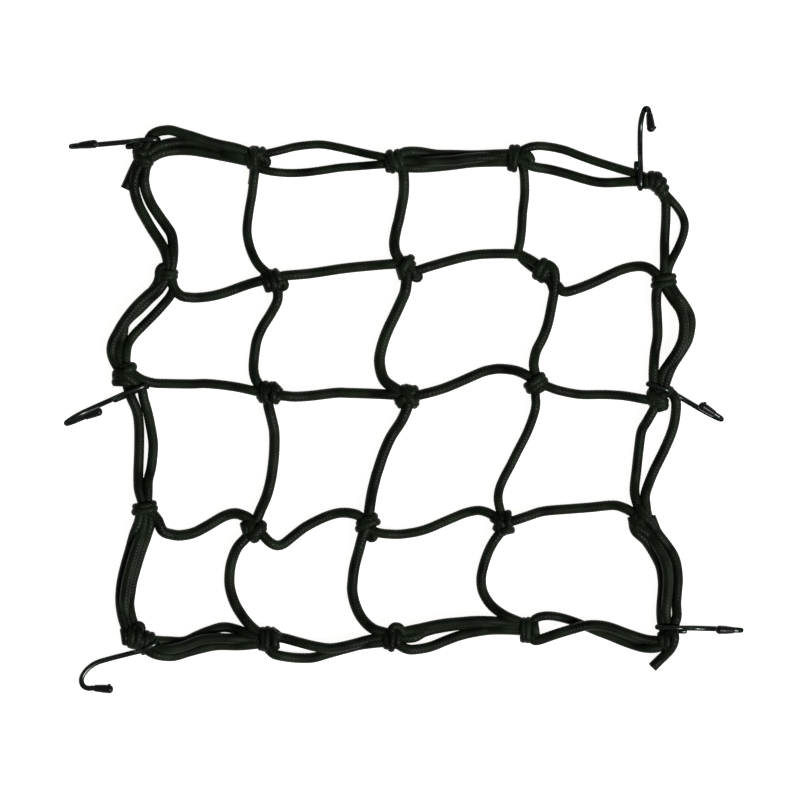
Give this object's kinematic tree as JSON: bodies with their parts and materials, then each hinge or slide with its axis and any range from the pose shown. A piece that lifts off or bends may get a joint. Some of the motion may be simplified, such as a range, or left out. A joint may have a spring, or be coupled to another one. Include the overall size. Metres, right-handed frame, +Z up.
{
  "type": "cargo net",
  "caption": "Elastic cord cargo net in square meshes, knotted at each crossing, with bent wire hooks that have dipped tips, lying flat on a surface.",
  "frame": {"origin": "on the surface that the net lies on, at the middle of the whole, hooks included", "axes": "+Z up, +X across the picture to the right, +Y up the picture"},
  "size_m": [0.3518, 0.3052, 0.0187],
  "materials": {
    "cord": "braided polyester sheath over rubber, matt black with a faint sheen along the cord",
    "hook_wire": "bent steel wire, black coated, semi-gloss",
    "tip_cap": "dipped soft vinyl, glossy black"
  },
  "bodies": {
    "root": {"net": "cord", "hook_1": "hook_wire", "hook_2": "hook_wire", "hook_3": "hook_wire", "hook_4": "hook_wire", "hook_5": "hook_wire", "hook_6": "hook_wire", "tip_1": "tip_cap", "tip_2": "tip_cap", "tip_3": "tip_cap", "tip_4": "tip_cap", "tip_5": "tip_cap", "tip_6": "tip_cap"}
  },
  "joints": []
}
